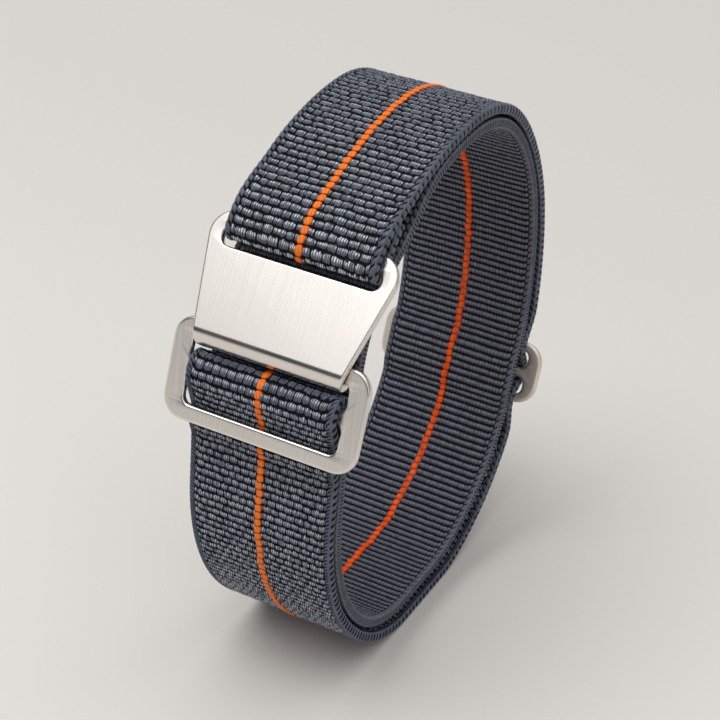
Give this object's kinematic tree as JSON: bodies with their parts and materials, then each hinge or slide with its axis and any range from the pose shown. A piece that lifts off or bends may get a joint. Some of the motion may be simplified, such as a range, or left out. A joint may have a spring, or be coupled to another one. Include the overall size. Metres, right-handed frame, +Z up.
{
  "type": "stretch watch band",
  "caption": "Elastic woven watch band in a closed double loop, with a hook clasp, a clasp frame and a slide adjuster.",
  "frame": {"origin": "under the middle of the band, on the surface that it stands on", "axes": "+X along the webbing's width, +Y from the clasp towards the back of the band, +Z up"},
  "size_m": [0.0262, 0.0617, 0.0715],
  "materials": {
    "webbing": "woven elastic nylon, matt, blue-grey",
    "stripe": "woven polyester warp yarns, matt, orange",
    "hardware": "brushed stainless steel, warm silver"
  },
  "bodies": {
    "band": {"webbing_outer_top": "webbing", "webbing_back_upper": "webbing", "webbing_back_lower": "webbing", "webbing_outer_bottom": "webbing", "webbing_inner": "webbing", "webbing_frame_fold": "webbing", "webbing_hook_fold": "webbing", "stripe_outer_top": "stripe", "stripe_back_upper": "stripe", "stripe_back_lower": "stripe", "stripe_outer_bottom": "stripe", "stripe_inner": "stripe", "stripe_frame_fold": "stripe", "stripe_hook_fold": "stripe"},
    "hook": {"hook_clasp": "hardware"},
    "frame": {"clasp_frame": "hardware"},
    "slider": {"slide_adjuster": "hardware", "webbing_slider_weave": "webbing", "stripe_slider_weave": "stripe"}
  },
  "joints": [
    {"name": "hook_swing", "type": "hinge", "parent": "band", "child": "hook", "pos_m": [0, -0.02033, 0.06107], "axis": [1, 0, 0], "range_deg": [-1, 1]},
    {"name": "frame_tilt", "type": "hinge", "parent": "band", "child": "frame", "pos_m": [0, -0.02839, 0.04565], "axis": [1, 0, 0], "range_deg": [-2.5, 2.5]},
    {"name": "slider_travel", "type": "hinge", "parent": "band", "child": "slider", "pos_m": [0, -0.01756, 0.03791], "axis": [1, 0, 0], "range_deg": [-4, 9], "deforming": ["webbing_back_upper", "webbing_back_lower", "stripe_back_upper", "stripe_back_lower"]}
  ],
  "couplings": [
    {"joint": "frame_tilt", "follows": "hook_swing", "ratio": -2.5}
  ]
}
